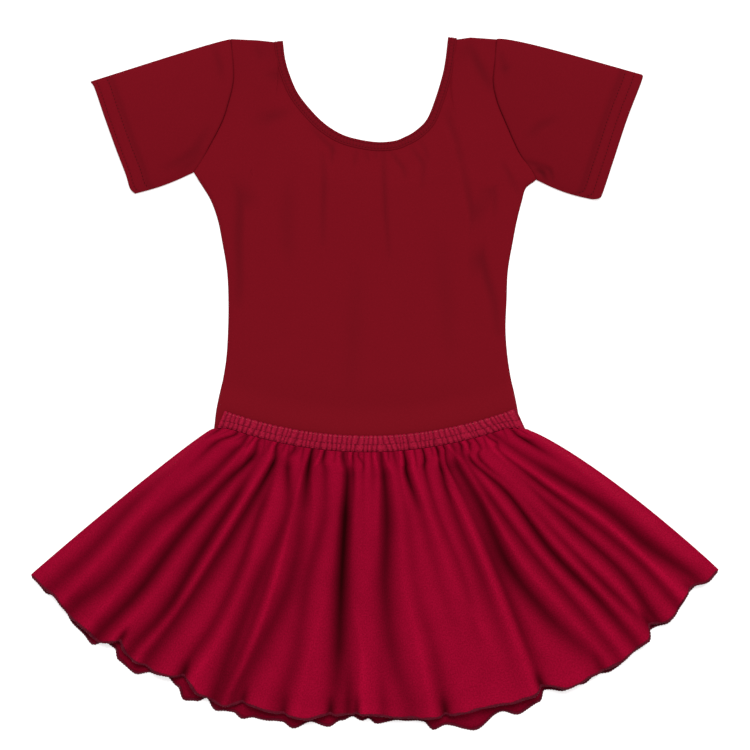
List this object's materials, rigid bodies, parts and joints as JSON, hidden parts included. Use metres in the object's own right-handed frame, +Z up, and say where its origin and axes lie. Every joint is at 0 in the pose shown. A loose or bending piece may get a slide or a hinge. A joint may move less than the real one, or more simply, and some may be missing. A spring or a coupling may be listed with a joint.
{
  "type": "short-sleeve skirted leotard",
  "caption": "Child's short-sleeve scoop-neck leotard with a gathered flared skirt on an elastic casing, laid flat on its back.",
  "frame": {"origin": "on the surface the garment lies on, under the middle of its outline", "axes": "+Z up out of the garment's front, +Y towards the neck, +X to the wearer's left"},
  "size_m": [0.53, 0.5337, 0.0145],
  "materials": {
    "burgundy_knit": "fine matt stretch jersey",
    "raspberry_knit": "fine matt jersey with a slight melange",
    "raspberry_casing": "the skirt's jersey gathered on elastic"
  },
  "bodies": {
    "root": {"bodice_front": "burgundy_knit", "bodice_back": "burgundy_knit", "right_sleeve": "burgundy_knit", "left_sleeve": "burgundy_knit", "neck_binding": "burgundy_knit", "waistband_front": "raspberry_casing", "waistband_back": "raspberry_casing", "skirt_front": "raspberry_knit", "skirt_back": "raspberry_knit"}
  },
  "joints": []
}
